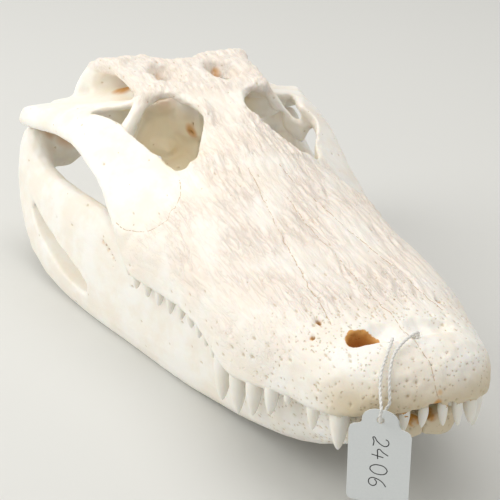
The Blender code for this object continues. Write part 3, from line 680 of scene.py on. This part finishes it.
# %% [markdown]
# ## Teeth
# An alligator's tooth is a cone of dentine with a glassy enamel cap. The ones in front are long, lean
# forward and curve back at the tip, and those at the back are short and blunt. Each kind is drawn out
# of a circle once, ring by ring, and copied into every socket with its own length, width and lean.

# %% Draw the two kinds of tooth
def draw_tooth(name, rings):
    """A tooth 1 wide and 1 long that hangs below the gum line at 0. Rings: depth, width, bend."""
    depth, width, bend = rings[0]
    bpy.ops.object.select_all(action="DESELECT")
    bpy.ops.mesh.primitive_circle_add(vertices=14, radius=width, fill_type="NGON",
                                      location=(0, bend, -depth))
    tooth = bpy.context.object
    tooth.name = name
    settle(tooth)
    edit(tooth)
    for (depth_a, width_a, bend_a), (depth_b, width_b, bend_b) in zip(rings, rings[1:]):
        bpy.ops.mesh.extrude_region_move(
            TRANSFORM_OT_translate={"value": (0, bend_b - bend_a, depth_a - depth_b)})
        share = width_b / width_a
        bpy.ops.transform.resize(value=(share, share, 1), center_override=(0, bend_b, -depth_b))
    bpy.ops.mesh.select_all(action="SELECT")
    bpy.ops.mesh.normals_make_consistent(inside=False)
    leave()
    round_off = tooth.modifiers.new("round_off", "SUBSURF")
    round_off.levels = 1
    round_off.render_levels = 1
    settle(tooth)
    return tooth


FANG_RINGS = [(-0.4, 0.8, 0), (-0.1, 1.0, 0), (0.1, 1.04, 0), (0.3, 0.97, 0.01), (0.5, 0.84, 0.03),
              (0.7, 0.65, 0.06), (0.86, 0.43, 0.09), (0.96, 0.23, 0.115), (1.0, 0.07, 0.125)]
PEG_RINGS = [(-0.5, 0.8, 0), (-0.1, 0.95, 0), (0.12, 1.05, 0), (0.35, 1.02, 0.01), (0.6, 0.84, 0.03),
             (0.8, 0.58, 0.05), (0.93, 0.32, 0.07), (1.0, 0.1, 0.08)]
fang = draw_tooth("fang", FANG_RINGS)
peg = draw_tooth("peg", PEG_RINGS)
print("fang", len(fang.data.polygons), "faces, peg", len(peg.data.polygons))

# %% Set the teeth in their sockets
SLENDER = 2.6  # teeth longer than this many radii are fangs


def set_teeth(name, rows, side, up, lengths, leans, draw):
    """The teeth of one side of a jaw as one piece. up is 1 for the lower jaw and -1 for the upper."""
    made = []
    for x, s, z, length, radius in rows:
        longer = length * draw.uniform(*lengths)
        lean = Vector((side * draw.uniform(*leans[0]), draw.uniform(*leans[1]), up)).normalized()
        model = fang if length / radius > SLENDER else peg
        tooth = bpy.data.objects.new("tooth", model.data.copy())
        bpy.context.scene.collection.objects.link(tooth)
        turn = lean.to_track_quat("-Z", "Y").to_matrix().to_4x4()
        size = Matrix.Diagonal((radius * MM, radius * MM, longer * MM, 1))
        tooth.data.transform(Matrix.Translation(place(side * x, s, z)) @ turn @ size)
        made.append(tooth)
    pick(*made)
    bpy.ops.object.join()
    teeth = bpy.context.object
    teeth.name = name
    bpy.ops.object.shade_smooth()
    return teeth


draw = random.Random(17)
UPPER_LEANS = ((0.0, 0.08), (-0.2, -0.08))  # the upper teeth lean forward
LOWER_LEANS = ((0.0, 0.1), (-0.06, 0.06))
# On both sides the sixth tooth has only just come through, and its neighbours have moved up beside it
SHOWN_UPPER_TEETH = list(UPPER_TEETH)
SHOWN_UPPER_TEETH[5] = (57.5, 63, 63.6, 5, 2.4)
SHOWN_UPPER_TEETH[6] = (61.6, 75, 61.6, 17, 4.5)
SHOWN_UPPER_TEETH[7] = (66.3, 89, 58.6, 21, 5.2)
SHOWN_UPPER_TEETH[9] = (72.0, 122, 57.7, 24, 6.0)
UPPER_LENGTHS = (0.9, 1.08)  # shortest and longest, against the table
LOWER_LENGTHS = (0.85, 1.05)
rows_of_teeth = [
    set_teeth("upper_teeth_right", SHOWN_UPPER_TEETH, -1, -1, UPPER_LENGTHS, UPPER_LEANS, draw),
    set_teeth("upper_teeth_left", SHOWN_UPPER_TEETH, 1, -1, UPPER_LENGTHS, UPPER_LEANS, draw),
    set_teeth("lower_teeth_right", LOWER_TEETH, -1, 1, LOWER_LENGTHS, LOWER_LEANS, draw),
    set_teeth("lower_teeth_left", LOWER_TEETH, 1, 1, LOWER_LENGTHS, LOWER_LEANS, draw),
]
bpy.data.objects.remove(fang)
bpy.data.objects.remove(peg)
for teeth in rows_of_teeth:
    print(teeth.name, len(teeth.data.polygons), "faces")

# %% [markdown]
# ## Bone
# Bleached bone is hydroxyapatite and collagen that has been boiled, degreased and whitened with
# peroxide. It is matt and chalky, a warm white, a little see-through at thin edges, and it stays
# yellow-brown where grease sat deep in it.

# %% Numbers that the bone's material reads
def add_node(material, kind, settings=None, links=None):
    """Add a node of a kind, set its sockets and properties, and link sockets to other nodes."""
    tree = material.node_tree
    node = tree.nodes.new(kind)
    for key, value in (settings or {}).items():
        if isinstance(key, str) and hasattr(node, key):
            setattr(node, key, value)
        else:
            node.inputs[key].default_value = value
    for key, source in (links or {}).items():
        tree.links.new(source, node.inputs[key])
    return node


def new_material(name):
    material = bpy.data.materials.new(name)
    material.use_nodes = True
    material.node_tree.nodes.clear()
    return material


bone_finish = new_material("bleached_bone")
where = add_node(bone_finish, "ShaderNodeTexCoord").outputs["Object"]
signal = {}
for name in ("grain", "inner", "aged", "fold", "pit", "crowd", "suture", "stain", "hole"):
    signal[name] = add_node(bone_finish, "ShaderNodeAttribute", {"attribute_name": name}).outputs["Fac"]
print("numbers from the skin:", ", ".join(signal))

# %% [markdown]
# Some of the bone's texture is finer than the skin's faces, so the material draws it: clouds and
# speckles of tone, hairlines and fibres that run along the bone, and the smallest pits, which are the
# middles of the cells of a Voronoi pattern. A Mapping node gives each pattern its size in millimetres.

# %% Patterns finer than the skin's faces
for name, scale, detail, roughness in (("cloud", 38.0, 4.0, 0.6), ("speckle", 420.0, 3.0, 0.5)):
    signal[name] = add_node(bone_finish, "ShaderNodeTexNoise",
                            {"Scale": scale, "Detail": detail, "Roughness": roughness},
                            {"Vector": where}).outputs["Fac"]

PER_METRE = 1000.0  # millimetres
# Pattern, its node, its size across, along and up in millimetres, and its settings
STRETCHED = [
    ("hairs", "ShaderNodeTexNoise", (2.6, 24.0, 5.0), {"Detail": 2.0, "Distortion": 0.9}),
    ("fibres", "ShaderNodeTexNoise", (1.1, 9.0, 2.5), {"Detail": 2.0, "Distortion": 0.6}),
    ("cell", "ShaderNodeTexVoronoi", (2.6, 3.4, 2.6), {}),
]
for name, kind, sizes, settings in STRETCHED:
    stretch = add_node(bone_finish, "ShaderNodeMapping", {"Scale": [1 / size for size in sizes]},
                       {"Vector": where})
    pattern = add_node(bone_finish, kind, {"Scale": PER_METRE, **settings},
                       {"Vector": stretch.outputs["Vector"]})
    signal[name] = pattern.outputs[0]
signal["cell_colour"] = pattern.outputs["Color"]
print("patterns:", ", ".join(list(signal)[-6:]))

# %% [markdown]
# Each tint needs an amount between 0 and 1. A table gives the steps from the numbers and patterns to
# those amounts: a ramp rises smoothly between two values, up to a most, and the other steps are sums.

# %% Amounts of the tints
# Result, step, what goes in, and for a ramp where it starts, where it ends and its most
STEPS = [
    ("cloudy", "RAMP", ["cloud"], (0.35, 0.65, 1.0)),
    # painted shade: a pale pinkish grey over the wrinkled snout and roof for the shade of their fine grooves
    ("wrinkled", "RAMP", ["grain"], (0.0, 0.8, 0.6)),
    # painted warm light inside the skull behind the eyes
    ("inside", "RAMP", ["inner"], (0.0, 1.0, 0.6)),
    # painted shade on the lower front of the snout, which faces away from the light
    ("painted_front_shade", "RAMP", ["aged"], (0.0, 1.0, 0.75)),
    # painted shade in the grooves of the folds
    ("painted_fold_shade", "RAMP", ["fold"], (0.35, 1.0, 0.35)),
    # Hairline grooves where the bone is wrinkled: an inward bump, and painted shade in them
    ("hair_side", "SUBTRACT", ["hairs", 0.5], None),
    ("hair_gap", "ABSOLUTE", ["hair_side"], None),
    ("hair_near", "SUBTRACT", [0.1, "hair_gap"], None),
    ("hair", "RAMP", ["hair_near"], (0.04, 0.1, 1.0)),
    ("hair_line", "MULTIPLY", ["hair", "grain"], None),
    ("painted_hairline_shade", "RAMP", ["hair_line"], (0.0, 1.0, 0.25)),
    # The smallest pits, in the middles of Voronoi cells where pits crowd: an inward bump, and painted shade
    # in them
    ("some_cells", "RAMP", ["cell_colour"], (0.35, 0.5, 1.0)),
    ("pitted_cells", "MULTIPLY", ["some_cells", "crowd"], None),
    ("cell_middle", "RAMP", ["cell"], (0.26, 0.12, 1.0)),
    ("tiny_pit", "MULTIPLY", ["cell_middle", "pitted_cells"], None),
    ("painted_tiny_pit_shade", "RAMP", ["tiny_pit"], (0.0, 0.8, 0.4)),
    # painted shade in the pits that the skin is dented with
    ("painted_pit_shade", "RAMP", ["pit"], (0.2, 0.8, 0.45)),
    ("suture_gap", "ABSOLUTE", ["suture"], None),
    ("suture_near", "SUBTRACT", [1.0, "suture_gap"], None),
    ("suture_line", "RAMP", ["suture_near"], (0.55, 0.85, 0.75)),
    ("unbroken", "RAMP", ["speckle"], (0.38, 0.52, 1.0)),
    ("sutured", "MULTIPLY", ["suture_line", "unbroken"], None),
    ("blotches", "RAMP", ["cloud"], (0.2, 0.45, 1.0)),
    ("patches", "MULTIPLY", ["stain", "blotches"], None),
    ("stained", "RAMP", ["patches"], (0.05, 0.8, 0.95)),
    # painted shade in the named holes of nerves and vessels
    ("painted_hole_shade", "RAMP", ["hole"], (0.3, 0.9, 0.85)),
    ("rough", "MAXIMUM", ["grain", "crowd"], None),
    ("rough_speckle", "MULTIPLY", ["speckle", "rough"], None),
]
for result, step, goes_in, span in STEPS:
    if step == "RAMP":
        kind, sockets = "ShaderNodeMapRange", ["Value"]
        settings = {"interpolation_type": "SMOOTHSTEP", "From Min": span[0], "From Max": span[1],
                    "To Max": span[2]}
    else:
        kind, sockets, settings = "ShaderNodeMath", [0, 1], {"operation": step}
    links = {}
    for socket, value in zip(sockets, goes_in):
        if isinstance(value, str):
            links[socket] = signal[value]
        else:
            settings[socket] = value
    signal[result] = add_node(bone_finish, kind, settings, links).outputs[0]
print(len(STEPS), "steps")

# %% [markdown]
# The tints are then laid over each other from the palest to the darkest, as a painter glazes, and the
# patterns are chained as bumps from the finest grain to the speckle.

# %% Bleached bone
CLEAN_BONE = ("#FDFBF5", "#F8F1E6")
# The wrinkled, inside, front, fold, hairline, pit and hole tints are painted light: shade in grooves and
# hollows and where the front faces away, and warm light inside the skull. The clean tones, sutures and
# stains are the bone's own colour.
TINTS = [
    ("wrinkled", "#F3E7DC"), ("inside", "#F7E9C8"), ("painted_front_shade", "#D6C39B"), ("painted_fold_shade", "#DCCFC6"),
    ("painted_hairline_shade", "#C9B9AA"), ("painted_tiny_pit_shade", "#B59C68"), ("painted_pit_shade", "#B89E6A"), ("sutured", "#BFA27C"),
    ("stained", "#D2953C"), ("painted_hole_shade", "#9C6F38"),
]
tone = add_node(bone_finish, "ShaderNodeMix",
                {"data_type": "RGBA", 6: colour(CLEAN_BONE[0]), 7: colour(CLEAN_BONE[1])},
                {0: signal["cloudy"]}).outputs[2]
for amount, tint in TINTS:
    tone = add_node(bone_finish, "ShaderNodeMix", {"data_type": "RGBA", 7: colour(tint)},
                    {6: tone, 0: signal[amount]}).outputs[2]

# Height, strength, distance in metres, and whether it goes inward
BUMPS = [("fibres", 0.35, 0.0005, False), ("hair_line", 0.6, 0.0005, True),
         ("tiny_pit", 0.8, 0.0006, True), ("rough_speckle", 0.35, 0.0006, False)]
links = {}
for height, strength, distance, inward in BUMPS:
    links["Height"] = signal[height]
    bump = add_node(bone_finish, "ShaderNodeBump",
                    {"Strength": strength, "Distance": distance, "invert": inward}, links)
    links["Normal"] = bump.outputs["Normal"]


def finish_material(material, shader):
    output = material.node_tree.nodes.new("ShaderNodeOutputMaterial")
    material.node_tree.links.new(shader.outputs[0], output.inputs["Surface"])


# Bone that was boiled and bleached has a chalky face, so its roughness is high and its gloss faint,
# and a little light goes through it, which warms the edges of thin bars.
bone_shader = add_node(
    bone_finish, "ShaderNodeBsdfPrincipled",
    {"Roughness": 0.6, "IOR": 1.5, "Subsurface Weight": 0.2, "Subsurface Radius": (1.0, 0.6, 0.35),
     "Subsurface Scale": 0.003},
    {"Base Color": tone, "Normal": bump.outputs["Normal"]})
finish_material(bone_finish, bone_shader)

for bone in bones:
    bone.data.materials.clear()
    bone.data.materials.append(bone_finish)
print(bone_finish.name, "has", len(bone_finish.node_tree.nodes), "nodes")

# %% [markdown]
# ## Tooth enamel
# Enamel is a glassy mineral that has been polished by use. It is smoother and whiter than the bone, so
# each tooth has a soft sheen down its length, and light goes a little way into it.

# %% Tooth enamel
enamel = new_material("tooth_enamel")
where = add_node(enamel, "ShaderNodeTexCoord").outputs["Object"]
stain = add_node(enamel, "ShaderNodeTexNoise", {"Scale": 120.0, "Detail": 3.0}, {"Vector": where})
tone = add_node(enamel, "ShaderNodeMix", {"data_type": "RGBA", 6: colour("#FDFCF8"), 7: colour("#F3ECDD")},
                {0: stain.outputs["Fac"]})
enamel_shader = add_node(
    enamel, "ShaderNodeBsdfPrincipled",
    {"Roughness": 0.3, "IOR": 1.62, "Subsurface Weight": 0.25, "Subsurface Radius": (1.0, 0.75, 0.5),
     "Subsurface Scale": 0.002},
    {"Base Color": tone.outputs[2]})
finish_material(enamel, enamel_shader)
for teeth in rows_of_teeth:
    teeth.data.materials.clear()
    teeth.data.materials.append(enamel)
print(enamel.name, "on", len(rows_of_teeth), "rows of teeth")

# %% [markdown]
# ## Card, string and ink
# The card is a merchandise tag of smooth stiff paper, cool white against the cream bone. Its solid has
# the right shape and keeps it. The number is written down its length with a black fibre pen, whose
# line is half a millimetre wide and lies on the paper with no thickness that the eye could see. Each
# digit is a few strokes, drawn as a thin tube along them and pressed flat onto the card.

# %% Write the number on the card
PEN = 0.3  # half the width of the pen's line
CARD_MIDDLE = (-33.0, 2.0, 79.0)  # middle of the card's hole
CARD_FACE = 0.25  # from the card's middle to its face
CARD_TURN, CARD_SWING = -42, -3.2  # degrees, about the upright and in its own plane
# The strokes of each digit, as places to the right and up in a digit that is 1 high
ZERO = [[(0.3, 1.0), (0.1, 0.86), (0.0, 0.5), (0.1, 0.12), (0.3, 0.0), (0.5, 0.14), (0.6, 0.5),
         (0.5, 0.88), (0.28, 1.0)]]
TWO = [[(0.04, 0.8), (0.16, 0.97), (0.4, 0.98), (0.54, 0.8), (0.5, 0.58), (0.26, 0.26), (0.0, 0.02),
        (0.3, 0.06), (0.62, 0.01)]]
FOUR = [[(0.34, 1.0), (0.18, 0.7), (0.0, 0.4), (0.3, 0.36), (0.66, 0.38)],
        [(0.5, 0.72), (0.46, 0.4), (0.4, 0.0)]]
SIX = [[(0.5, 1.0), (0.26, 0.82), (0.06, 0.45), (0.06, 0.14), (0.28, 0.0), (0.52, 0.12), (0.52, 0.34),
        (0.3, 0.46), (0.1, 0.34)]]
# Digit, how far down from the hole its left edge is, where its foot is across the card, and its height
NUMBER = [(TWO, 10.5, -3.5, 8.5), (FOUR, 17.5, -4.0, 9.0), (ZERO, 27.0, -4.5, 9.5), (SIX, 35.0, -5.0, 9.5)]

strokes = bpy.data.curves.new("written_number", "CURVE")
strokes.dimensions = "3D"
strokes.bevel_depth = PEN * MM
strokes.bevel_resolution = 2
strokes.use_fill_caps = True
for digit, down, foot, height in NUMBER:
    for stroke in digit:
        line = strokes.splines.new("BEZIER")
        line.bezier_points.add(len(stroke) - 1)
        for knot, (right, up) in zip(line.bezier_points, stroke):
            knot.co = ((foot + up * height) * MM, 0, -(down + right * height) * MM)
            knot.handle_left_type = "AUTO"
            knot.handle_right_type = "AUTO"
number = bpy.data.objects.new("written_number", strokes)
bpy.context.scene.collection.objects.link(number)
pick(number)
bpy.ops.object.convert(target="MESH")
edit(number)
bpy.ops.transform.resize(value=(1, 0.2, 1), center_override=(0, 0, 0))
bpy.ops.transform.translate(value=(0, -CARD_FACE * MM, 0))
bpy.ops.mesh.normals_make_consistent(inside=False)
leave()
card_turn = (Matrix.Rotation(math.radians(CARD_TURN), 4, "Z")
             @ Matrix.Rotation(math.radians(CARD_SWING), 4, "Y"))
number.data.transform(Matrix.Translation(place(*CARD_MIDDLE)) @ card_turn)
bpy.ops.object.shade_smooth()
print("number:", len(number.data.polygons), "faces")

# %% Tag card, cotton thread and pen ink
# Stiff card is matt and a little blue beside bone. Its fibres show as a faint mottle and a soft tooth
# in the light that falls along it.
paper = new_material("tag_card_paper")
where = add_node(paper, "ShaderNodeTexCoord").outputs["Object"]
mottle = add_node(paper, "ShaderNodeTexNoise", {"Scale": 900.0, "Detail": 4.0, "Roughness": 0.7},
                  {"Vector": where})
sheet = add_node(paper, "ShaderNodeMix", {"data_type": "RGBA", 6: colour("#D9DEE0"), 7: colour("#E6E9E9")},
                 {0: mottle.outputs["Fac"]})
tooth_of_paper = add_node(paper, "ShaderNodeBump", {"Strength": 0.15, "Distance": 0.0001},
                          {"Height": mottle.outputs["Fac"]})
paper_shader = add_node(paper, "ShaderNodeBsdfPrincipled", {"Roughness": 0.65, "IOR": 1.5},
                        {"Base Color": sheet.outputs[2], "Normal": tooth_of_paper.outputs["Normal"]})
finish_material(paper, paper_shader)
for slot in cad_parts["tag_card"].material_slots:
    slot.material = paper

# Cotton scatters light softly along its fuzz, which lifts its edges, and its twist catches fine shadows.
cotton = new_material("cotton_thread")
where = add_node(cotton, "ShaderNodeTexCoord").outputs["Object"]
fuzz = add_node(cotton, "ShaderNodeTexNoise", {"Scale": 2500.0, "Detail": 2.0}, {"Vector": where})
yarn = add_node(cotton, "ShaderNodeMix", {"data_type": "RGBA", 6: colour("#F4F3EF"), 7: colour("#DDDCD8")},
                {0: fuzz.outputs["Fac"]})
lint = add_node(cotton, "ShaderNodeBump", {"Strength": 0.4, "Distance": 0.0002},
                {"Height": fuzz.outputs["Fac"]})
cotton_shader = add_node(cotton, "ShaderNodeBsdfPrincipled",
                         {"Roughness": 0.85, "IOR": 1.5, "Sheen Weight": 0.3, "Sheen Roughness": 0.5},
                         {"Base Color": yarn.outputs[2], "Normal": lint.outputs["Normal"]})
finish_material(cotton, cotton_shader)
string.data.materials.clear()
string.data.materials.append(cotton)

# Dried fibre-pen ink is a soft black with a faint gloss where the strokes cross.
ink = new_material("black_pen_ink")
ink_shader = add_node(ink, "ShaderNodeBsdfPrincipled",
                      {"Base Color": colour("#1E1F22"), "Roughness": 0.45, "IOR": 1.45})
finish_material(ink, ink_shader)
number.data.materials.append(ink)
print("materials:", paper.name, cotton.name, ink.name)

# %% [markdown]
# ## Paper sweep
# A studio sweep is a wide roll of matt paper. It has no gloss, so what the eye sees on it is only the
# soft shadow of the skull. Its grain is too fine to show from here, so it has one even colour.

# %% Paper sweep
floor_finish = new_material("matt_paper_sweep")
floor_shader = add_node(floor_finish, "ShaderNodeBsdfPrincipled",
                        {"Base Color": colour("#DCDDDB"), "Roughness": 0.75})
finish_material(floor_finish, floor_shader)
floor.data.materials.append(floor_finish)
print("floor:", floor_finish.name)

# %% [markdown]
# ## Last lines
# Each piece is tied to the body of the solids, and the solids that the pieces stand for are hidden.

# %% Tie the pieces to the solids
for bone in bones:
    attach(bone, "root")
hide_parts("snout")
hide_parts("skull_roof", "cheekbone_right", "cheekbone_left", "palate")
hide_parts("quadrate_right", "quadrate_left", "braincase")
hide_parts("jaw_right")
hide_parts("jaw_left")
for teeth in rows_of_teeth:
    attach(teeth, "root")
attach(number, "root")
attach(string, "root")
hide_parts("tag_string")
print("tied:", len(bones) + len(rows_of_teeth) + 2, "pieces")
